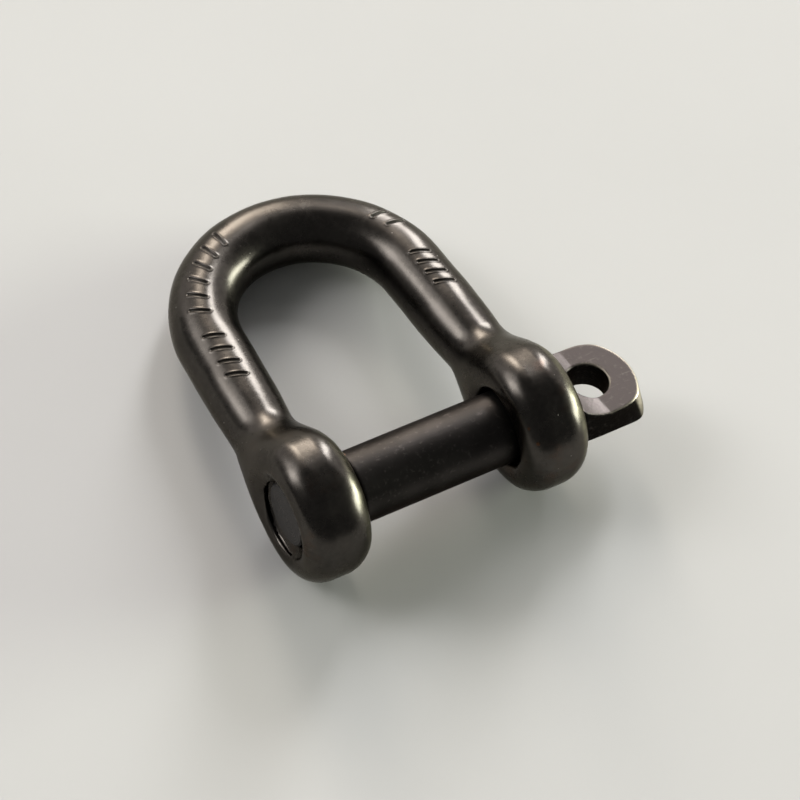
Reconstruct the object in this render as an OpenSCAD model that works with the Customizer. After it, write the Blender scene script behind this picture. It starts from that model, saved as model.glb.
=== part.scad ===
// Screw-pin D shackle for joining chain, lying at rest on its two eyes and its crown.
// Millimetres. The origin is on the pin axis, midway between the eyes.
// +X runs along the pin towards its head, +Y towards the crown, +Z up.

/* [Bow] */
// Diameter of the round bar
bar_d = 5.5; // [4.5:0.1:5.8]
// Clear width between the inner faces of the two eyes
jaw_w = 13; // [10:0.1:18]
// Distance from the pin axis to the centre of the crown bend
crown_y = 16.5; // [14:0.1:26]
// Centre-line radius of the crown bend
crown_r = 9; // [7:0.1:11]
// Radius of the hollow neck between a leg and its eye
neck_r = 4; // [2.5:0.1:6]

/* [Eyes] */
// Outside diameter of each eye
eye_d = 11.7; // [10.8:0.1:14]
// Thickness of each eye along the pin
eye_t = 6; // [5.8:0.1:8]
// Rounding of each eye's outer rim
rim_r = 2.4; // [1:0.1:2.8]
// Rounding of the mouth of each hole
mouth_r = 1; // [0.5:0.05:1.2]
// How far the face cuts the mouth's rounding short, which leaves a fine edge
mouth_lip = 0.08; // [0.04:0.01:0.2]

/* [Pin] */
// Diameter of the plain shank
shank_d = 5.8; // [4.8:0.1:6.4]
// Pitch diameter of the screw thread, which is drawn plain
thread_d = 5.4; // [4.4:0.1:5.8]
// Length of thread that shows inside the jaw
thread_show = 0.3; // [0.1:0.1:2]
// Depth of the tip below the outer face of the tapped eye
tip_recess = 0.8; // [0:0.1:2]
// Chamfer of the tip
tip_chamfer = 0.3; // [0.1:0.05:0.8]

/* [Head] */
// Distance from the eye's face to the end of the head's upper face
head_len = 6.1; // [5.5:0.05:9]
// Width of the head at its belly
head_w = 7.2; // [6.8:0.1:10]
// Thickness of the flat of the head
head_t = 2.6; // [1.8:0.1:4]
// Distance from the end of the head to its belly
belly_to_end = 3.7; // [2.5:0.1:4.5]
// Radius of the bowed sides of the head
side_r = 9; // [6:0.1:20]
// Radius of the rounded end of the head, on its upper face
end_r = 4.4; // [4:0.1:8]
// How much further the cropped end reaches on the lower face
end_slant = 0.5; // [0:0.05:1]
// Height of the head's root at the eye
root_h = 4.2; // [3:0.1:5.4]
// Length of the ramp from the root down to the flat
ramp_len = 2; // [1.5:0.1:3]
// Radius of the hollow of the ramp
ramp_r = 6; // [2.5:0.1:12]
// Length of the taper at the end of the shank, which runs out into the root
taper_len = 0.6; // [0.3:0.1:2]
// Diameter of the hole in the head
hole_d = 3.4; // [2.5:0.1:4]
// Distance from the end of the head to the centre of its hole
hole_to_end = 3.8; // [3.2:0.1:4.2]

/* [Fits] */
// Radial clearance of the thread in the tapped eye
thread_clear = 0.05; // [0.02:0.01:0.1]
// Radial clearance of the shank in the plain eye
shank_clear = 0.25; // [0.1:0.05:0.5]
// Gap between the head and the eye when the pin is home
seat_gap = 0.05; // [0.02:0.01:0.2]

/* [Hidden] */
$fn = 96;

// Lap of a buried end, and how much thinner each length of bar is than the one its end is buried in
lap = 0.3;
bury = 0.02;
// Overrun of a cutter past the face that it cuts
over = 1;

bar_r = bar_d / 2;
eye_r = eye_d / 2;
eye_x = (jaw_w + eye_t) / 2;
face_x = jaw_w / 2 + eye_t;
tap_r = thread_d / 2 + thread_clear;
plain_r = shank_d / 2 + shank_clear;

// The neck's hollow touches the leg at neck_y and the eye after turning through neck_a
neck_c = bar_r + neck_r;
neck_y = sqrt(pow(eye_r + neck_r, 2) - pow(neck_c, 2));
neck_a = acos(neck_c / (eye_r + neck_r));
lap_a = asin(lap / neck_c);

// Each leg is the tangent from the neck, in the middle of the eye's thickness, to the crown bend
neck_to_crown = norm([eye_x, crown_y - neck_y]);
leg_len = sqrt(pow(neck_to_crown, 2) - pow(crown_r, 2));
leg_a = acos(crown_r / neck_to_crown) - atan2(crown_y - neck_y, eye_x);

// Lying free, the shackle tips until its crown meets the surface that the eyes lie on
rest_tilt = asin((eye_r - bar_r) / (crown_y + crown_r));

tip_x = tip_recess - face_x;
thread_end_x = thread_show - jaw_w / 2;
seat_x = face_x + seat_gap;
end_x = face_x + head_len;
flat_x = seat_x + ramp_len;

// Centre of the ramp's hollow: the point at ramp_r from both ends of the ramp, on its outer side
ramp_start = [seat_x, root_h / 2];
ramp_end = [flat_x, head_t / 2];
ramp_chord = ramp_end - ramp_start;
ramp_side = [-ramp_chord.y, ramp_chord.x] / norm(ramp_chord);
ramp_rise = sqrt(pow(ramp_r, 2) - pow(norm(ramp_chord) / 2, 2));
ramp_c = (ramp_start + ramp_end) / 2 + ramp_side * ramp_rise;

module at_rest() {
    rotate([-rest_tilt, 0, 0])
        children();
}

module along_pin() {
    rotate([0, 90, 0])
        children();
}

module on_both_legs() {
    for (side = [0, 1])
        mirror([side, 0, 0])
            translate([eye_x, 0, 0])
                children();
}

module crown() {
    translate([0, crown_y, 0])
        rotate([0, 0, leg_a])
            rotate_extrude(angle = 180 - 2 * leg_a)
                translate([crown_r, 0])
                    circle(r = bar_r);
}

module leg() {
    translate([0, neck_y, 0])
        rotate([-90, 0, leg_a])
            cylinder(r = bar_r - bury, h = leg_len + lap);
}

// The bar runs on into the eye and also forks around it, above and below
module neck() {
    rotate([-90, 0, 0])
        cylinder(r = bar_r - 2 * bury, h = neck_y + lap);
    for (side = [0, 1])
        mirror([0, 0, side])
            translate([0, neck_y, neck_c])
                rotate([180, 90, 0])
                    rotate([0, 0, -lap_a])
                        rotate_extrude(angle = neck_a + lap_a)
                            translate([neck_c, 0])
                                circle(r = bar_r - 3 * bury);
}

module eye_section() {
    flat_r = eye_r - rim_r;
    band = eye_t - 2 * rim_r;
    translate([0, -eye_t / 2])
        square([flat_r, eye_t]);
    translate([0, -band / 2])
        square([eye_r, band]);
    for (side = [-1, 1])
        translate([flat_r, side * band / 2])
            circle(r = rim_r);
}

module eye() {
    along_pin()
        rotate_extrude()
            eye_section();
}

module mouth_section(hole_r) {
    depth = mouth_r - mouth_lip;
    translate([hole_r, eye_t / 2 - depth])
        difference() {
            square([mouth_r, depth + over]);
            translate([mouth_r, 0])
                circle(r = mouth_r);
        }
}

module eye_hole(hole_r) {
    along_pin()
        rotate_extrude() {
            translate([0, -eye_t / 2 - over])
                square([hole_r, eye_t + 2 * over]);
            mouth_section(hole_r);
            mirror([0, 1])
                mouth_section(hole_r);
        }
}

module bow() {
    color("#4c463c")
        at_rest()
            difference() {
                union() {
                    crown();
                    on_both_legs() {
                        leg();
                        neck();
                        eye();
                    }
                }
                translate([-eye_x, 0, 0])
                    eye_hole(tap_r);
                translate([eye_x, 0, 0])
                    eye_hole(plain_r);
            }
}

module shank() {
    along_pin() {
        translate([0, 0, tip_x])
            cylinder(r1 = thread_d / 2 - tip_chamfer, r2 = thread_d / 2, h = tip_chamfer);
        translate([0, 0, tip_x + tip_chamfer])
            cylinder(d = thread_d, h = thread_end_x - tip_x);
        translate([0, 0, thread_end_x])
            cylinder(d = shank_d, h = seat_x - taper_len / 2 - thread_end_x);
        translate([0, 0, seat_x - taper_len / 2])
            cylinder(d1 = shank_d, d2 = root_h, h = taper_len);
    }
}

// The head seen from above: two bowed sides, from the eye to past the end
module head_outline() {
    intersection() {
        translate([seat_x, -head_w / 2])
            square([head_len + end_slant, head_w]);
        for (side = [-1, 1])
            translate([end_x - belly_to_end, side * (side_r - head_w / 2)])
                circle(r = side_r);
    }
}

// The head seen from the side: the flat, and the ramps that rise to its root
module head_profile() {
    translate([seat_x, -head_t / 2])
        square([head_len + end_slant, head_t]);
    difference() {
        translate([seat_x, -root_h / 2])
            square([ramp_len, root_h]);
        for (side = [-1, 1])
            translate([ramp_c.x, side * ramp_c.y])
                circle(r = ramp_r);
    }
}

// The round end is cropped with a slant, here carried on past both faces of the flat
module head_end() {
    slope = end_slant / head_t;
    translate([end_x - end_r, 0, 0])
        cylinder(
            r1 = end_r + slope * (head_t + root_h) / 2,
            r2 = end_r + slope * (head_t - root_h) / 2,
            h = root_h,
            center = true
        );
}

module head_hole() {
    translate([end_x - hole_to_end, 0, 0])
        cylinder(d = hole_d, h = root_h + 2 * over, center = true);
}

module head() {
    intersection() {
        linear_extrude(height = root_h, center = true)
            head_outline();
        rotate([90, 0, 0])
            linear_extrude(height = head_w, center = true)
                head_profile();
        head_end();
    }
}

module screw_pin() {
    color("#3a3835")
        at_rest()
            difference() {
                union() {
                    shank();
                    head();
                }
                head_hole();
            }
}

bow();
screw_pin();
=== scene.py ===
# %% [markdown]
# # A screw-pin shackle for joining chain
# The shackle is two pieces of steel: a forged bow with an eye at each end, and a pin that passes
# through one eye and screws into the other. The solids of both come in as a fixed frame, in metres.
# Nothing in that frame is moved. The pieces made below are drawn over it and take its place.

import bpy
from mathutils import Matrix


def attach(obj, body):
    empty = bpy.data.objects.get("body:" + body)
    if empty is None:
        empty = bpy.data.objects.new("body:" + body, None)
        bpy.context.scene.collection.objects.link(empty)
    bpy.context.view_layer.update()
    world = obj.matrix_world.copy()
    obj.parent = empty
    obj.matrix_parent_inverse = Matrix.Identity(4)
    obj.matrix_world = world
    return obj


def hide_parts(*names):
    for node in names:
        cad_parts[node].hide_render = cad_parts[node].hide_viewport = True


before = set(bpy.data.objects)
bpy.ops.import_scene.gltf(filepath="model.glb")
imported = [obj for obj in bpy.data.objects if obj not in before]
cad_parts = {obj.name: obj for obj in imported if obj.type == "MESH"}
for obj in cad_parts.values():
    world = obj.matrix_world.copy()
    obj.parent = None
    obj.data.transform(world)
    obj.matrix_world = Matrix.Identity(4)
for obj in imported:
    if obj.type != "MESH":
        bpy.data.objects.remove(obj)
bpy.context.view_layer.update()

# %% [markdown]
# ## Sizes
# These are the maker's sizes in millimetres, the same as those of the solids. They hold for the
# shackle standing square: x runs along the pin, y towards the crown and z out of the flat of the bow.
# On the floor it lies tipped, because the eyes are thicker than the crown, so the last line works out
# the angle at which eyes and crown touch the floor together.

# %% Sizes in millimetres
import math
import bmesh
import bpy
import numpy as np

metres = 0.001
bar_r, crown_r, crown_y, neck_r = 2.75, 9.0, 16.5, 4.0
jaw_w, eye_t, eye_r, rim_r = 13.0, 6.0, 5.85, 2.4
eye_x, face_x = (jaw_w + eye_t) / 2, jaw_w / 2 + eye_t
neck_c = bar_r + neck_r
neck_y = math.sqrt((eye_r + neck_r) ** 2 - neck_c ** 2)
leg_reach = math.hypot(eye_x, crown_y - neck_y)
leg_len = math.sqrt(leg_reach ** 2 - crown_r ** 2)
leg_a = math.acos(crown_r / leg_reach) - math.atan2(crown_y - neck_y, eye_x)
rest_tilt = math.asin((eye_r - bar_r) / (crown_y + crown_r))
print("leg %.2f mm, tipped by %.2f degrees" % (leg_len, math.degrees(rest_tilt)))

# %% [markdown]
# ## Shapes as distances
# A forging has no sharp joins: one form flows into the next. Such a skin could be pushed out by hand
# from a subdivided cage, but the fillets would be guesses. Here each form is a rule that gives, for
# any point, the distance to its surface, negative inside. Two rules join with a soft minimum, which
# leaves a fillet, and a soft maximum cuts one from the other and leaves a rounded edge.

# %% Soft joins
def join(a, b, soft):
    h = np.clip(0.5 + 0.5 * (b - a) / soft, 0, 1)
    return b + (a - b) * h - soft * h * (1 - h)


def cut_back(a, b, soft):
    return -join(-a, -b, soft)


print("two surfaces that meet grow by %.3f mm" % -join(np.zeros(1), np.zeros(1), 0.7)[0])

# %% [markdown]
# ## The bar and the eyes
# The smith bends a round bar into a U and swells its two ends into eyes. The centre line is one arc
# and two nearly straight legs, so the distance to the bar is the distance to that line, less the
# radius. Just before its eye each leg is drawn down to a slight waist, where the smith worked the
# shoulder of the eye with a round-nosed tool. The eye is a thick disc with a bull-nosed rim.

# %% Rules for the bow's forms
waist, waist_len, bar_end_y = 0.2, 2.6, 4.0


def from_centre_line(p):
    x, y = np.abs(p[:, 0]), p[:, 1] - crown_y
    out = x * math.cos(leg_a) + y * math.sin(leg_a)
    along = x * math.sin(leg_a) - y * math.cos(leg_a)
    side = np.where(along > 0, out, np.hypot(x, y)) - crown_r
    return x, y, along, side


def bar(p):
    x, y, along, side = from_centre_line(p)
    past = np.maximum(along - leg_len - neck_y + bar_end_y, 0)
    thinner = waist * np.exp(-((along - leg_len) / waist_len) ** 2)
    return np.sqrt(side ** 2 + past ** 2 + p[:, 2] ** 2) - bar_r + thinner


def eye(p):
    a = np.abs(np.abs(p[:, 0]) - eye_x) - (eye_t / 2 - rim_r)
    b = np.hypot(p[:, 1], p[:, 2]) - (eye_r - rim_r)
    corner = np.hypot(np.maximum(a, 0), np.maximum(b, 0))
    return corner + np.minimum(np.maximum(a, b), 0) - rim_r


probe = np.array([[0.0, crown_y + crown_r + bar_r, 0.0]])
print("crown's outside is %.4f mm from the bar's skin" % bar(probe)[0])

# %% [markdown]
# ## The screw thread
# The pin's end carries a coarse right-hand thread and the left eye is tapped to suit. A thread is one
# groove wound round the axis: going once round moves it on by one pitch. The rule below gives the
# height of the groove's flank for any point, and both the pin and the eye use it, so they mesh. A
# flank steeper than it needs to be, clipped at both ends, leaves the crests and the roots flat.

# %% Thread shared by the pin and the tapped eye
thread_r, thread_pitch, thread_depth, thread_gap = 2.7, 1.0, 0.22, 0.05
flank_steepness = 1.3
shank_r, shank_gap, thread_show, tip_recess = 2.9, 0.25, 0.3, 0.8
thread_end_x = thread_show - jaw_w / 2
tip_x = tip_recess - face_x


def thread_height(p):
    turn = p[:, 0] / thread_pitch - np.arctan2(p[:, 2], p[:, 1]) / (2 * math.pi)
    flank = 1 - 4 * np.abs(turn - np.floor(turn) - 0.5)
    return thread_depth * np.clip(flank_steepness * flank, -1, 1)


print("thread: %.1f turns on the pin" % ((thread_end_x - tip_x) / thread_pitch))

# %% [markdown]
# ## The whole bow
# Forms first, then a cut that keeps the faces of the eyes flat, then the slow waves that hammer and
# polishing belt leave on a forged skin, a few hundredths of a millimetre high: they are what makes
# the streaks of light wander. The holes come last, so they stay true, one plain and one tapped, each
# with a rounded mouth. The outer mouth of the tapped eye is flared wider than the other three.

# %% Rule for the bow
neck_fillet, face_soft, mouth, wide_mouth = 2.6, 0.6, 0.9, 1.7
flat_to_y, room_growth, tapped_run_out = 5.5, 0.12, 0.6
long_wave, short_wave = 0.010, 0.005


def forge_waves(p):
    a = np.sin(p @ [0.9, 0.5, 0.7] + 1.0) + np.sin(p @ [-0.6, 1.1, 0.4] + 2.3)
    b = np.sin(p @ [1.7, -0.8, 1.1]) + np.sin(p @ [0.5, 1.9, -1.3] + 0.7)
    return long_wave * a + short_wave * b


def bow_form(p):
    x, y, z = p.T
    d = join(bar(p), eye(p), neck_fillet)
    room = eye_t / 2 + room_growth * np.maximum(y - flat_to_y, 0) ** 2
    d = cut_back(d, np.abs(np.abs(x) - eye_x) - room, face_soft) + forge_waves(p)
    inside_eye = np.clip((eye_t / 2 - np.abs(x + eye_x)) / tapped_run_out, 0, 1)
    tapped = thread_r + thread_gap + thread_height(p) * inside_eye
    hole = np.where(x > 0, shank_r + shank_gap, tapped) - np.hypot(y, z)
    return cut_back(d, hole, np.where(x < -eye_x, wide_mouth, mouth))


print("wall left of the tapped eye: %.2f mm" % (eye_r - thread_r - thread_gap))

# %% [markdown]
# ## Punched marks
# A shackle is marked with hard punches along its legs, while it lies on the bench, and the marks
# stay as shallow grooves with a raised lip. These are rows of plain slanting strokes. Each has a
# place along the bar, measured from the middle of the crown, and a place across its top. The grooves
# are far finer than the rest of the skin, so they are added later, where it has been made finer.

# %% Marks along the bar
# First and last place along the bar, number of strokes, and place across the bar's top
mark_rows = [(-4.3, -11.8, 6, 0.5), (-15.4, -19.6, 4, 0.35),
             (9.2, 10.6, 2, 0.8), (15.0, 18.6, 4, 0.2)]
marks = [(at, over) for first, last, count, over in mark_rows
         for at in np.linspace(first, last, count)]
mark_half, mark_lean, groove_depth, groove_half = 0.8, 0.35, 0.11, 0.09
lip_height, lip_away, unmarked = 0.02, 2.4, 9.0


def along_and_across(p):
    x, y, along, side = from_centre_line(p)
    way = np.where(along > 0, crown_r * (math.pi / 2 + leg_a) + along, crown_r * np.arctan2(x, y))
    return np.sign(p[:, 0]) * way, bar_r * np.arctan2(side, p[:, 2])


def to_nearest_mark(p):
    way, across = along_and_across(p)
    nearest = np.full(len(p), unmarked)
    for at, over in marks:
        s, w = way - at, across - over
        s, w = s - mark_lean * w, w + mark_lean * s
        past_end = np.maximum(np.abs(w) - mark_half, 0)
        nearest = np.minimum(nearest, np.hypot(s, past_end))
    return nearest


def marked_bow(p):
    d = to_nearest_mark(p)
    groove = groove_depth * np.exp(-(d / groove_half) ** 2)
    lip = lip_height * np.exp(-((d - lip_away * groove_half) / groove_half) ** 2)
    return bow_form(p) + groove - lip


print(len(marks), "marks, each about %.1f mm across the bar" % (2 * mark_half))

# %% [markdown]
# ## From a rule to a mesh
# Blender could turn a rule into a mesh with metaballs or a remeshed volume, but both leave steps.
# This mesher lays a grid over the form, puts one vertex in every cell that the surface crosses, and
# joins the vertices of the four cells round each crossed edge into a quad. Then each vertex slides
# down the slope of the rule until its distance is nil, so the mesh lies on the true surface. The
# first helpers find that slope, and the way that the surface faces.

# %% Slope and settling
def slope(rule, p, step=0.01):
    g = np.empty_like(p)
    for i in range(3):
        d = np.zeros(3)
        d[i] = step
        g[:, i] = (rule(p + d) - rule(p - d)) / (2 * step)
    return g


def facing(rule, p):
    g = slope(rule, p)
    return g / np.sqrt((g ** 2).sum(1))[:, None]


def settle(rule, p, times):
    least_steep = 0.2
    for _ in range(times):
        g = slope(rule, p)
        p = p - g * (rule(p) / np.maximum((g ** 2).sum(1), least_steep))[:, None]
    return p


def ball(p):
    return np.sqrt((p ** 2).sum(1)) - 2


probe = settle(ball, np.array([[0.0, 0.0, 3.0]]), 2)
print("a point 1 mm off a ball settles to %.4f mm from it" % ball(probe)[0])

# %% [markdown]
# ## The grid
# The rule is worked out one slice of the grid at a time, to spare memory. A cell is crossed where the
# sign changes along one of its twelve edges, and its vertex starts at the mean of those crossings.

# %% Crossed cells
def grid_values(rule, low, size, step):
    d = np.empty(size)
    y, z = np.meshgrid(low[1] + step * np.arange(size[1]), low[2] + step * np.arange(size[2]),
                       indexing="ij")
    for i in range(size[0]):
        x = np.full(y.size, low[0] + step * i)
        d[i] = rule(np.column_stack([x, y.ravel(), z.ravel()])).reshape(y.shape)
    return d


def crossed_cells(d):
    cells = [n - 1 for n in d.shape]
    total, count = np.zeros(cells + [3]), np.zeros(cells)
    for axis in range(3):
        u, v = [i for i in range(3) if i != axis]
        for a in (0, 1):
            for b in (0, 1):
                start = [0, 0, 0]
                start[u], start[v] = a, b
                near = d[tuple(slice(s, s + n) for s, n in zip(start, cells))]
                start[axis] = 1
                far = d[tuple(slice(s, s + n) for s, n in zip(start, cells))]
                hit = (near < 0) != (far < 0)
                count += hit
                total[..., axis] += np.where(hit, near / np.where(hit, near - far, 1), 0)
                total[..., u] += a * hit
                total[..., v] += b * hit
    return total, count


ball_count = crossed_cells(grid_values(ball, [-3] * 3, [13] * 3, 0.5))[1]
print("a ball of radius 2 crosses", int((ball_count > 0).sum()), "cells of a 0.5 mm grid")

# %% [markdown]
# ## The faces
# Each grid edge that the surface crosses gets one quad, wound so that it faces out of the metal. A
# grid must not have a plane in a flat or on a crest of the form, or cells there are crossed twice and
# faces are doubled, so each piece below says where its grid starts.

# %% Faces round the crossed edges
def skin(rule, low, high, step):
    low = np.array(low, float)
    size = [int((h - l) / step) + 2 for l, h in zip(low, high)]
    d = grid_values(rule, low, size, step)
    total, count = crossed_cells(d)
    where = np.argwhere(count > 0)
    number = np.full(count.shape, -1)
    number[tuple(where.T)] = np.arange(len(where))
    points = low + step * (where + total[tuple(where.T)] / count[tuple(where.T)][:, None])
    quads = []
    for axis in range(3):
        u, v = (axis + 1) % 3, (axis + 2) % 3
        near = np.take(d, range(size[axis] - 1), axis) < 0
        far = np.take(d, range(1, size[axis]), axis) < 0
        for crossed, ring in ((near & ~far, [(0, 0), (1, 0), (1, 1), (0, 1)]),
                              (far & ~near, [(0, 0), (0, 1), (1, 1), (1, 0)])):
            at = np.argwhere(crossed)
            at = at[(at[:, u] > 0) & (at[:, v] > 0)]
            corners = []
            for a, b in ring:
                c = at.copy()
                c[:, u] -= a
                c[:, v] -= b
                corners.append(number[tuple(c.T)])
            quads.append(np.column_stack(corners))
    return points, np.vstack(quads)


print("its skin has", len(skin(ball, [-3] * 3, [3] * 3, 0.5)[1]), "quads")

# %% [markdown]
# ## Evening out and putting on the floor
# Vertices straight from the grid are bunched in places. Moving each a little towards the middle of
# its neighbours, and back on to the surface, evens them out. The finished points are tipped to the
# resting angle and go from millimetres to metres. The shading normals come from the rule itself. A
# value noted on every point, such as where it is worn or gets painted light or shade, is read by the
# finish later.

# %% Finishing a mesh
def even_out(rule, points, quads, times, stay=0.4):
    for _ in range(times):
        total, count = np.zeros_like(points), np.zeros(len(points))
        for i in range(4):
            for j in (1, 3):
                np.add.at(total, quads[:, i], points[quads[:, (i + j) % 4]])
                np.add.at(count, quads[:, i], 1)
        points = settle(rule, stay * points + (1 - stay) * total / count[:, None], 1)
    return points


def lay_down(p):
    c, s = math.cos(rest_tilt), math.sin(rest_tilt)
    return np.column_stack([p[:, 0], p[:, 1] * c + p[:, 2] * s, p[:, 2] * c - p[:, 1] * s])


def shade_from(rule, mesh, p):
    mesh.polygons.foreach_set("use_smooth", np.ones(len(mesh.polygons), bool))
    mesh.normals_split_custom_set_from_vertices(lay_down(facing(rule, p)).tolist())


def note_on_points(mesh, name, values):
    mesh.attributes.new(name, "FLOAT", "POINT").data.foreach_set("value", values.astype(np.float32))


def ease(value, start, end):
    t = np.clip((value - start) / (end - start), 0, 1)
    return t * t * (3 - 2 * t)


def add_piece(name, mesh, body, node):
    piece = bpy.data.objects.new(name, mesh)
    bpy.context.scene.collection.objects.link(piece)
    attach(piece, body)
    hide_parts(node)
    triangles = sum(len(face.vertices) - 2 for face in mesh.polygons)
    print(name, "has", len(mesh.vertices), "vertices and", triangles, "triangles")


print("halfway up, an eased step stands at", ease(0.5, 0, 1))

# %% [markdown]
# ## The bow's skin
# The grid is 0.2 mm, fine enough for the thread and the rounded mouths. Round the marks the quads are
# split into sixteen, and only then do the vertices settle on the rule that has the grooves in it.

# %% Bow's skin, finer round the marks
bow_low, bow_high, bow_step = [-13.0, -6.3, -6.3], [12.9, 28.7, 6.3], 0.2
split_reach, split_from_z, mark_from_z = 0.5, 0.8, 0.5

bow_points, bow_quads = skin(bow_form, bow_low, bow_high, bow_step)
bow_points = even_out(bow_form, settle(bow_form, bow_points, 2), bow_quads, 3)
bow_mesh = bpy.data.meshes.new("forged_bow")
bow_mesh.from_pydata(bow_points.tolist(), [], bow_quads.tolist())

work = bmesh.new()
work.from_mesh(bow_mesh)
centres = np.array([f.calc_center_median() for f in work.faces])
close = (to_nearest_mark(centres) < split_reach) & (centres[:, 2] > split_from_z)
work.faces.ensure_lookup_table()
edges = {e for i in np.flatnonzero(close) for e in work.faces[i].edges}
bmesh.ops.subdivide_edges(work, edges=list(edges), cuts=3, use_grid_fill=True)
work.to_mesh(bow_mesh)
work.free()
print(int(close.sum()), "quads split round the marks")

# %% [markdown]
# ## Settling the bow, its wear and its painted light and shade
# Marks are on the upper side alone, so only points there follow the rule with the grooves. In and
# round the grooves the colour is darkened as painted shade. The rims of both eyes are painted pale
# where they turn towards the pin's head, outside the mouth and below the neck, and less on the tapped
# eye. This is partly worn blacking and partly a painted highlight for the glint of the low lamp at
# the right.

# %% Bow settled on the marked rule
def bow_rule(p):
    return np.where(p[:, 2] > mark_from_z, marked_bow(p), bow_form(p))


bow_points = np.empty(len(bow_mesh.vertices) * 3)
bow_mesh.vertices.foreach_get("co", bow_points)
bow_points = bow_points.reshape(-1, 3)
on_top = bow_points[:, 2] > mark_from_z
bow_points = settle(bow_rule, bow_points, 4)
bow_mesh.vertices.foreach_set("co", (lay_down(bow_points) * metres).ravel())
shade_from(bow_rule, bow_mesh, bow_points)

# Painted shade: the colour darkens in and round each groove.
groove_shade_reach = 0.13
groove_painted_shade = np.where(on_top, np.exp(-(to_nearest_mark(bow_points) / groove_shade_reach) ** 2), 0)
x, y, z = bow_points.T
# Painted highlight and wear: rims facing +x, towards the low lamp at the right, are marked to be
# painted pale.
to_head = facing(bow_rule, bow_points)[:, 0]
on_rim = ease(np.hypot(y, z), 3.9, 4.3) * ease(y, 5.0, 3.5) * np.where(x > 0, 1.0, 0.6)
rim_wear_and_painted_glint = ease(to_head, 0.42, 0.64) * ease(to_head, 0.98, 0.9) * on_rim
note_on_points(bow_mesh, "groove_painted_shade", groove_painted_shade)
note_on_points(bow_mesh, "rim_wear_and_painted_glint", rim_wear_and_painted_glint)
add_piece("forged_bow", bow_mesh, "bow", "bow")

# %% [markdown]
# ## The pin's head
# The head is forged flat, cropped round the end with a slanting shear and drilled for a bar to turn
# it by. Its sides are bowed and square up towards the lower face near the end. From the eye the head
# falls in a hollow ramp to the flat, which is why a bright facet shows between the eye and the hole.
# The ramp is part of a circle through its two ends, set a little askew, and shallower underneath.

# %% Rule for the head
seat_gap, head_len, to_belly, to_hole = 0.05, 6.1, 2.4, 2.3
seat_x, end_x = face_x + seat_gap, face_x + head_len
belly_x, hole_x = face_x + to_belly, face_x + to_hole
head_w, head_t, root_h, side_r, hole_r = 7.2, 2.6, 4.2, 9.0, 1.7
end_r, end_slant, end_off = 4.4, 0.7, 0.2
ramp_len, ramp_r, ramp_skew, lower_ramp = 2.0, 6.0, 0.06, 0.35
nose_soft, edge_soft, foot_soft = 0.5, 0.2, 0.04
chord = np.array([ramp_len, (head_t - root_h) / 2])
chord_len = np.hypot(*chord)
rise = math.sqrt(ramp_r ** 2 - chord_len ** 2 / 4)
ramp_x = seat_x + chord[0] / 2 - chord[1] / chord_len * rise
ramp_z = (root_h + head_t) / 4 + chord[0] / chord_len * rise


def head(p):
    x, y, z = p.T
    lean = np.where(x > belly_x, np.clip(0.5 + z / head_t, 0, 1), 1)
    sides = np.abs(y) - head_w / 2 + lean * (x - belly_x) ** 2 / (2 * side_r)
    slant = end_slant / head_t
    end = np.hypot(x - end_x + end_r, y + end_off) - end_r - slant * (head_t / 2 - z)
    end /= math.hypot(1, slant)
    skew = np.minimum(x + ramp_skew * y, ramp_x)
    ramp = ramp_z - np.sqrt(np.maximum(ramp_r ** 2 - (skew - ramp_x) ** 2, 0.01))
    ramp = np.where(z > 0, ramp, (1 - lower_ramp) * head_t / 2 + lower_ramp * ramp)
    face = np.abs(z) - cut_back(ramp, head_t / 2, foot_soft)
    d = cut_back(cut_back(sides, end, nose_soft), face, edge_soft)
    d = cut_back(d, seat_x - x, edge_soft)
    return cut_back(d, hole_r - np.hypot(x - hole_x, y), edge_soft)


print("ramp's hollow is centred at x %.2f, z %.2f mm" % (ramp_x, ramp_z))

# %% [markdown]
# ## The whole pin
# The pin is turned from bar: thread, plain shank and a short taper that runs out into the head. The
# thread fades out before the shank and ends in a bevelled tip. The hole is cut once more after the
# taper and the head are joined, because their fillet would creep into it.

# %% Rule for the pin
taper_half, shank_soft, root_fillet = 0.3, 0.25, 0.3
pin_run_out, thread_lap, tip_bevel, cos_45 = 0.5, 0.3, 0.3, 0.707
hole_again_x = 13.1


def pin_form(p):
    x, y, z = p.T
    across = np.hypot(y, z)
    fall = (shank_r - root_h / 2) / (2 * taper_half)
    taper = np.minimum(shank_r, shank_r - (x - seat_x + taper_half) * fall)
    ends = np.maximum(thread_end_x - x, x - seat_x - taper_half)
    shank = cut_back(across - taper, ends, shank_soft)
    fade = np.clip((thread_end_x - x) / pin_run_out, 0, 1)
    thread = across - thread_r - thread_height(p) * fade
    thread = np.maximum(thread, np.maximum(tip_x - x, x - thread_end_x - thread_lap))
    thread = np.maximum(thread, (across - thread_r + tip_bevel + tip_x - x) * cos_45)
    body = join(np.minimum(shank, thread), head(p), root_fillet)
    drilled = np.maximum(body, hole_r - np.hypot(x - hole_x, y))
    return np.where(x > hole_again_x, drilled, body)


print("pin is %.2f mm long" % (end_x + end_slant - tip_x))

# %% [markdown]
# ## The pin's skin
# The pin needs a finer grid than the bow, because its edges are crisper. Its vertices are not evened
# out, which would blunt those edges.

# %% Pin's skin
pin_low, pin_high, pin_step = [-12.1, -4.02, -3.42], [19.6, 4.0, 3.4], 0.12

pin_points, pin_quads = skin(pin_form, pin_low, pin_high, pin_step)
pin_points = settle(pin_form, pin_points, 3)
pin_mesh = bpy.data.meshes.new("screw_pin")
pin_mesh.from_pydata((lay_down(pin_points) * metres).tolist(), [], pin_quads.tolist())
shade_from(pin_form, pin_mesh, pin_points)
print("pin's skin has", len(pin_quads), "quads")

# %% [markdown]
# ## What each part of the pin went through
# While the points are still square to the head, each is noted as part of the flat, the ramp, the
# cropped edge or the tip, because they were worked by different tools and each keeps its own finish.

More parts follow.
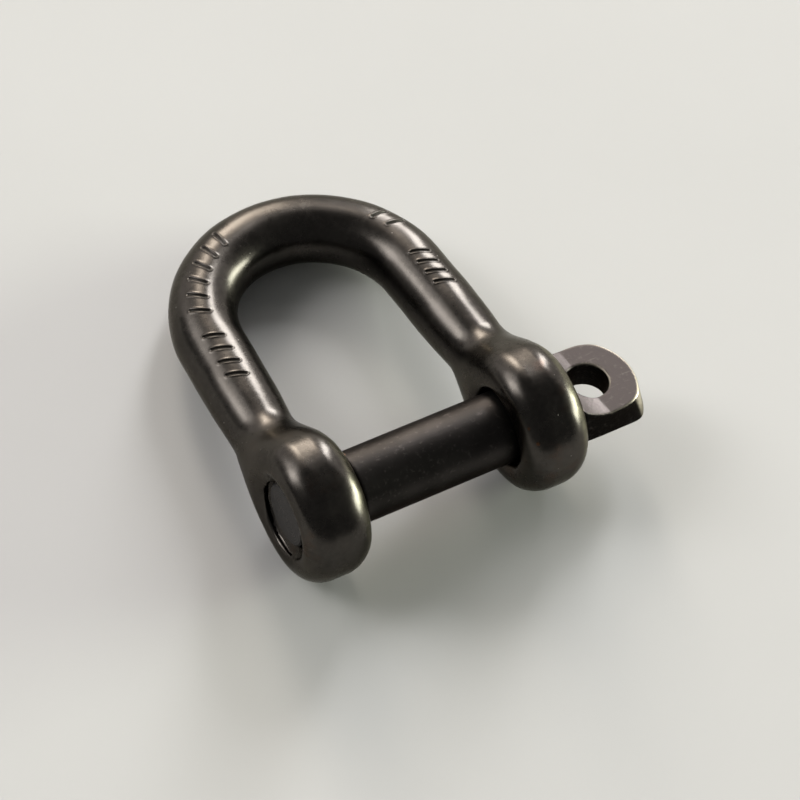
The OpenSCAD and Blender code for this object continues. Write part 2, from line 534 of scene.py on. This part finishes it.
# %% Pin's worked faces
x, y, z = pin_points.T
flank = facing(pin_form, pin_points)
upward = np.abs(flank[:, 2])
ramp_foot = seat_x + ramp_len
on_head = ease(x, seat_x - 0.1, seat_x + 0.1)
faces_up = ease(upward, 0.6, 0.8) * on_head
on_ramp = ease(x + ramp_skew * y, ramp_foot + 0.05, ramp_foot - 0.05) * faces_up
note_on_points(pin_mesh, "flat_face", faces_up)
note_on_points(pin_mesh, "ramp", on_ramp * (0.45 + 0.55 * ease(y, 1.0, -1.0)))
note_on_points(pin_mesh, "cropped_edge", on_head * ease(upward, 0.5, 0.35))
note_on_points(pin_mesh, "turned_tip", ease(x, tip_x + 0.35, tip_x + 0.15))
print("%.0f %% of the pin's points are on the flat or the ramp" % (100 * faces_up.mean()))

# %% [markdown]
# ## Where the pin is worn, painted with highlights, and rusty
# Corners that stand proud are painted bright, partly as worn blacking and partly as a painted
# highlight: the outer corner of the upper face, most of all towards the end, the far side of the
# hole's rim, and the two corners of the nose. Crumbs of rust gather on one side of the shank where it
# enters the tapped eye.

# %% Pin's wear, rust and painted highlights
from_hole = np.hypot(x - hole_x, y)
# Painted highlight and wear: proud corners, the hole's far rim and the nose are marked to be painted
# bright.
corner = ease(upward, 0.3, 0.55) * ease(upward, 0.99, 0.9) * (z > 0)
outer = corner * ease(from_hole, 2.2, 2.6) * ease(x, ramp_foot, ramp_foot + 0.4)
outer = outer * (0.25 + 0.75 * ease(x, end_x - 2.0, end_x - 0.7))
far_side = ease((0.94 * (x - hole_x) + 0.34 * y) / from_hole, 0.2, 0.8)
hole_rim = 0.5 * corner * ease(from_hole, 2.15, 1.95) * far_side * on_head
nose = ease(flank[:, 0], 0.40, 0.60) * ease(np.abs(flank[:, 1]), 0.3, 0.5)
nose = nose * ease(x, end_x - 2.5, end_x - 1.5)
nose = nose * (0.3 + 0.7 * ease(z, -1.2, 0.8)) * ease(upward, 0.9, 0.6)
along_seat, round_seat = (x - thread_end_x - 0.15) / 0.28, (np.arctan2(z, y) - 0.8) / 0.5
note_on_points(pin_mesh, "corner_wear_and_painted_glint", np.maximum(outer + hole_rim, nose))
note_on_points(pin_mesh, "rusty_seat", np.exp(-along_seat ** 2 - round_seat ** 2))
add_piece("turned_screw_pin", pin_mesh, "pin", "screw_pin")

# %% [markdown]
# ## Writing shader sums as sums
# A finish is a small graph of nodes. Placing them by hand is slow to read, so one class wraps a
# socket: plus, minus, times and a power on it add the Math node, and one method adds any other node.

# %% A socket that can be reckoned with
class Reading:
    def __init__(self, tree, socket=None):
        self.tree, self.socket = tree, socket

    def node(self, kind, settings=None, inputs=None, output=0):
        made = self.tree.nodes.new(kind)
        for name, value in (settings or {}).items():
            setattr(made, name, value)
        for name, value in (inputs or {}).items():
            if isinstance(value, Reading):
                self.tree.links.new(value.socket, made.inputs[name])
            else:
                made.inputs[name].default_value = value
        return Reading(self.tree, made.outputs[output])

    def reckon(self, operation, a, b):
        return self.node("ShaderNodeMath", {"operation": operation}, {0: a, 1: b})

    def __add__(self, other): return self.reckon("ADD", self, other)
    def __radd__(self, other): return self.reckon("ADD", other, self)
    def __sub__(self, other): return self.reckon("SUBTRACT", self, other)
    def __rsub__(self, other): return self.reckon("SUBTRACT", other, self)
    def __mul__(self, other): return self.reckon("MULTIPLY", self, other)
    def __rmul__(self, other): return self.reckon("MULTIPLY", other, self)
    def __pow__(self, other): return self.reckon("POWER", self, other)
    def __rpow__(self, other): return self.reckon("POWER", other, self)

    def between(self, low, high):
        return self.node("ShaderNodeMapRange", {"interpolation_type": "SMOOTHSTEP"},
                         {"Value": self, "From Min": low, "From Max": high})

    def tint(self, first, second):
        paint = lambda c: c if isinstance(c, Reading) else (*c, 1)
        return self.node("ShaderNodeMix", {"data_type": "RGBA"},
                         {0: self, 6: paint(first), 7: paint(second)}, 2)


print("a reading has", sum(name.startswith("__r") for name in vars(Reading)), "reflected operators")

# %% [markdown]
# ## Grain shared by both finishes
# Every pattern is laid out in the piece's own space, so it stays with the metal when the pin is drawn
# out. Scales are per metre: 300 gives patches of about three millimetres, 2500 a fine grain. Specks
# are small dots, kept only in some patches, because dust and rust gather in places.

# %% Patterns
def new_finish(name):
    material = bpy.data.materials.new(name)
    material.use_nodes = True
    start = Reading(material.node_tree)
    place = start.node("ShaderNodeTexCoord", output="Object")
    return material, material.node_tree.nodes["Principled BSDF"], start, place


def grain(place, scale, detail=3.0, rough=0.55):
    return place.node("ShaderNodeTexNoise", None,
                      {"Vector": place, "Scale": scale, "Detail": detail, "Roughness": rough})


def specks(place, scale, size, where, rarity):
    dots = place.node("ShaderNodeTexVoronoi", None, {"Vector": place, "Scale": scale})
    patches = grain(place, where, 1.0).between(rarity, rarity + 0.04)
    return (1 - dots.between(size * 0.5, size)) * patches


def noted(start, name):
    return start.node("ShaderNodeAttribute", {"attribute_name": name}, output="Fac")


def bumped(start, height, strength, distance):
    return start.node("ShaderNodeBump", None,
                      {"Strength": strength, "Distance": distance, "Height": height})


def fill(material, shader, **values):
    for name, value in values.items():
        socket = shader.inputs[name.replace("_", " ").title()]
        if isinstance(value, Reading):
            material.node_tree.links.new(value.socket, socket)
        else:
            socket.default_value = value
    print(material.name, "has", len(material.node_tree.nodes), "nodes")


print("patterns: grain, specks and the notes on the points")

# %% [markdown]
# ## The bow's finish: bronzed black steel
# The forging was blackened and has rubbed to a dark bronze sheen. The metal is dark, slightly yellow
# and smooth enough to mirror soft lamps as cream streaks. Patches of thinner blacking, a fine satin
# grain, a brown bloom and a few rust specks near the eyes, and thin dust break it up. The rims are
# painted pale, partly as worn blacking and partly as a painted highlight, and the punched grooves
# get painted shade. A thin coat of oil lies over it all.

# %% Bow finish
thick_blacking, thin_blacking = (0.035, 0.0315, 0.0278), (0.053, 0.0475, 0.0420)
satin_grain, brown_bloom = (0.072, 0.0645, 0.0570), (0.060, 0.037, 0.026)
# The pale rim colour is partly wear and partly a painted highlight.
pale_wear_and_glint, rust_brown = (0.165, 0.155, 0.112), (0.12, 0.052, 0.023)
# The groove colour is painted shade.
grey_dust, groove_shade_black = (0.30, 0.28, 0.25), (0.010, 0.009, 0.008)

bow_steel, shader, start, place = new_finish("bronzed_black_steel")
towards_crown = start.node("ShaderNodeSeparateXYZ", None, {"Vector": place}, 1)
patches = grain(place, 260.0, 4.0).between(0.35, 0.68)
fine = grain(place, 2400.0)
groove_shade = noted(start, "groove_painted_shade")
rust = specks(place, 420.0, 0.085, 130.0, 0.50) * (1 - towards_crown.between(0.004, 0.009))
bloom = grain(place, 330.0).between(0.54, 0.70) * (1 - towards_crown.between(0.002, 0.007))
dust = specks(place, 1000.0, 0.06, 170.0, 0.50)
# Painted highlight and wear: the marked rims are painted pale, broken by grain.
wear_and_painted_glint = noted(start, "rim_wear_and_painted_glint") * (0.55 + grain(place, 1500.0).between(0.4, 0.6) * 0.45)

colour = patches.tint(thick_blacking, thin_blacking)
colour = (fine.between(0.3, 0.8) * 0.4).tint(colour, satin_grain)
colour = (bloom * 0.5).tint(colour, brown_bloom)
colour = wear_and_painted_glint.tint(colour, pale_wear_and_glint)
colour = (rust * 0.7).tint(colour, rust_brown)
colour = (dust * 0.7).tint(colour, grey_dust)
# Painted shade darkens the punched grooves.
colour = (groove_shade * 0.85).tint(colour, groove_shade_black)
rough = 0.225 + patches * 0.06 + fine * 0.05 + groove_shade * 0.25 + dust * 0.3
height = fine * 0.5 + grain(place, 900.0, 2.0) * 0.6 + dust * 0.2
fill(bow_steel, shader, base_color=colour, roughness=rough, metallic=1 - dust * 0.7,
     normal=bumped(start, height, 0.15, 0.00004), specular_tint=(0.62, 0.60, 0.56, 1.0),
     coat_weight=0.15, coat_roughness=0.2)
bow_mesh.materials.append(bow_steel)

# %% [markdown]
# ## The pin's patterns
# Each tool left its own trace: fine strokes and a mottle on the ramp, faint scratches across the
# flat, grit on the torn edge, and rings of the lathe on the tip. A trace with a direction is grain
# that is stretched one way by a mapping.

# %% Pin patterns
pin_steel, shader, start, place = new_finish("blacked_pin_steel")
flat, ramp, edge = noted(start, "flat_face"), noted(start, "ramp"), noted(start, "cropped_edge")
tip, wear_and_painted_glint = noted(start, "turned_tip"), noted(start, "corner_wear_and_painted_glint")
patches = grain(place, 300.0, 4.0).between(0.3, 0.7)
fine = grain(place, 2600.0)
long_way = place.node("ShaderNodeMapping", None, {"Vector": place, "Scale": (1.0, 0.09, 0.3)})
strokes = grain(long_way, 7000.0, 2.0)
mottle = grain(place, 5500.0, 2.0, 0.6)
across_way = place.node("ShaderNodeMapping", None,
                        {"Vector": place, "Scale": (0.12, 1.0, 1.0), "Rotation": (0.0, 0.0, 0.5)})
scratches = grain(across_way, 4200.0, 2.0).between(0.62, 0.75) * flat
grit = grain(place, 5200.0, 2.0, 0.7)
off_y, off_z = (start.node("ShaderNodeSeparateXYZ", None, {"Vector": place}, k) for k in (1, 2))
rings = start.reckon("SINE", (off_y * off_y + off_z * off_z) ** 0.5 * 30000.0, 0.0)
dust = specks(place, 600.0, 0.09, 160.0, 0.56)
crumbs = (noted(start, "rusty_seat") * grain(place, 3200.0, 2.0)).between(0.28, 0.42)
print("pin's patterns take", len(pin_steel.node_tree.nodes), "nodes")

# %% [markdown]
# ## The pin's finish: blacked, with a worked head
# The shank is plain satin black and its tip is matt oxide with the rings of the lathe. The flat of
# the head was pressed between dies and is a matt warm grey with faint scratches. The ramp carries the
# tool's fine strokes across it and shines. The cropped edge is torn and gritty, and it is painted
# almost black as painted shade. Its corners are painted bright, partly as worn blacking and partly as
# a painted highlight. A few crumbs of rust sit at the tapped eye.

# %% Pin finish
deep_black, worn_black = (0.0245, 0.0225, 0.021), (0.0375, 0.034, 0.032)
pressed_grey, brushed_grey = (0.054, 0.047, 0.045), (0.128, 0.114, 0.110)
# The near-black colour of the cropped edge is painted shade.
edge_painted_shade, torn_glint = (0.010, 0.0098, 0.0094), (0.11, 0.10, 0.09)
# The bright corner colour is partly wear and partly a painted highlight.
tip_oxide, bright_wear_and_glint = (0.038, 0.0365, 0.035), (0.42, 0.38, 0.31)
crumb_brown, scratch_grey, pale_dust = (0.19, 0.12, 0.075), (0.30, 0.27, 0.25), (0.32, 0.30, 0.27)

colour = patches.tint(deep_black, worn_black)
colour = flat.tint(colour, pressed_grey)
colour = (ramp * (0.2 + strokes * 0.5 + mottle * 0.8)).tint(colour, brushed_grey)
# Painted shade: the cropped sides of the head are painted almost black.
colour = (edge * 0.9).tint(colour, edge_painted_shade)
colour = (grit.between(0.58, 0.74) * edge * 0.25).tint(colour, torn_glint)
colour = (tip * (0.85 + rings * 0.1)).tint(colour, tip_oxide)
# Painted highlight and wear: the marked corners are painted bright.
colour = wear_and_painted_glint.tint(colour, bright_wear_and_glint)
colour = crumbs.tint(colour, crumb_brown)
colour = (scratches * 0.1 + fine.between(0.55, 0.8) * 0.12).tint(colour, scratch_grey)
colour = (dust * 0.7).tint(colour, pale_dust)
rough = 0.36 + fine * 0.08 + flat * 0.14 - ramp * 0.05 + edge * 0.08 + dust * 0.2 + tip * 0.2
height = fine * 0.6 + (strokes + mottle) * ramp * 1.5 + grit * edge * 4.0
height = height + rings * tip - scratches * 0.3
fill(pin_steel, shader, base_color=colour, roughness=rough + crumbs * 0.3,
     metallic=1 - dust * 0.7 - crumbs * 0.8 - tip * 0.7,
     normal=bumped(start, height, 0.22, 0.00006), specular_tint=(0.45, 0.43, 0.42, 1.0))
pin_mesh.materials.append(pin_steel)

# %% [markdown]
# ## Floor
# The floor is plain, pale and quite matt, so that no lamp glares on it from any side.

# %% Floor
floor_z, floor_half = -eye_r * metres, 3
floor_corners = [(a * floor_half, b * floor_half, floor_z)
                 for a, b in ((-1, -1), (1, -1), (1, 1), (-1, 1))]
floor_mesh = bpy.data.meshes.new("floor")
floor_mesh.from_pydata(floor_corners, [], [(0, 1, 2, 3)])
floor = bpy.data.objects.new("floor", floor_mesh)
bpy.context.scene.collection.objects.link(floor)
floor_paint, shader, start, place = new_finish("pale_floor")
shader.inputs["Specular IOR Level"].default_value = 0.0
fill(floor_paint, shader, roughness=0.8,
     base_color=grain(place, 40.0).tint((0.49, 0.49, 0.48), (0.52, 0.52, 0.51)))
floor_mesh.materials.append(floor_paint)

# %% [markdown]
# ## Studio light
# Dark metal is seen by what it mirrors. Each bright streak on the bar shows the direction of a lamp,
# so the lamps are placed by the streaks: a wide, dim wall of light behind, three tall windows before
# it, of which two have a soft glow round them that blurs their edges, and a low lamp at the right,
# which lights the inside of the crown and draws the thin pale line on the rims. Each lamp is given by
# the angles that it fills, seen from the shackle, so it can be moved off without changing its streak.

# %% Lamps
middle_y = 0.012


def soft_lamp(name, bearing, height, wide, tall, glow, tint, far):
    b, h = math.radians(bearing), math.radians(height)
    lamp = bpy.data.lights.new(name, "AREA")
    lamp.shape = "RECTANGLE"
    lamp.size, lamp.size_y = (2 * far * math.tan(math.radians(a / 2)) for a in (wide, tall))
    lamp.energy = glow * math.pi * lamp.size * lamp.size_y
    lamp.color = tint
    holder = bpy.data.objects.new(name, lamp)
    holder.location = (far * math.sin(b) * math.cos(h), middle_y + far * math.cos(b) * math.cos(h),
                       far * math.sin(h))
    holder.rotation_euler = (math.pi / 2 - h, 0, math.pi - b)
    bpy.context.scene.collection.objects.link(holder)


# Name, bearing and height, width and tallness in degrees, glow, tint, distance in metres
lamps = [
    ("pale_wall", 27, 27, 118, 60, 1.0, (1.0, 0.95, 0.93), 2.4),
    ("window_left", -54, 36, 16, 20, 7.5, (1.0, 0.98, 0.97), 1.6),
    ("left_glow", -49, 38, 38, 32, 2.8, (1.0, 0.98, 0.97), 1.7),
    ("window_middle", 13, 24.5, 9, 24, 14.0, (1.0, 0.92, 0.82), 1.6),
    ("middle_glow", 13, 26, 20, 36, 4.0, (1.0, 0.89, 0.77), 1.7),
    ("window_right", 45, 27, 11, 30, 25.0, (0.99, 0.99, 1.0), 1.6),
    ("low_right", 104, 7, 30, 23, 28.0, (0.95, 1.0, 0.86), 1.6),
]
for lamp in lamps:
    soft_lamp(*lamp)
world = bpy.data.worlds.new("studio")
world.use_nodes = True
world.node_tree.nodes["Background"].inputs["Color"].default_value = (0.13, 0.13, 0.13, 1)
bpy.context.scene.world = world
bpy.context.scene.view_settings.view_transform = "Standard"
print(len(lamps), "soft lamps and a plain grey surround")

# %% [markdown]
# ## Camera
# The view is from above and in front of the jaw, a quarter of a metre away, turned a little on its
# axis. Two directions, right and up, set it without any guessing of angles: the third is their cross.

# %% Camera
from mathutils import Matrix, Vector

right = Vector((0.8700987, -0.4806314, 0.1091868))
up = Vector((0.3531930, 0.7625300, 0.5420357))
camera = bpy.data.objects.new("camera", bpy.data.cameras.new("camera"))
camera.data.sensor_width, camera.data.lens, camera.data.clip_start = 36, 151.1, 0.01
turn = Matrix((right, up, right.cross(up))).transposed().to_4x4()
camera.matrix_world = Matrix.Translation((-0.0878176, -0.1067181, 0.2157717)) @ turn
bpy.context.scene.collection.objects.link(camera)
bpy.context.scene.camera = camera
print("camera is %.0f mm from the pin" % (camera.location.length / metres))

# %% [markdown]
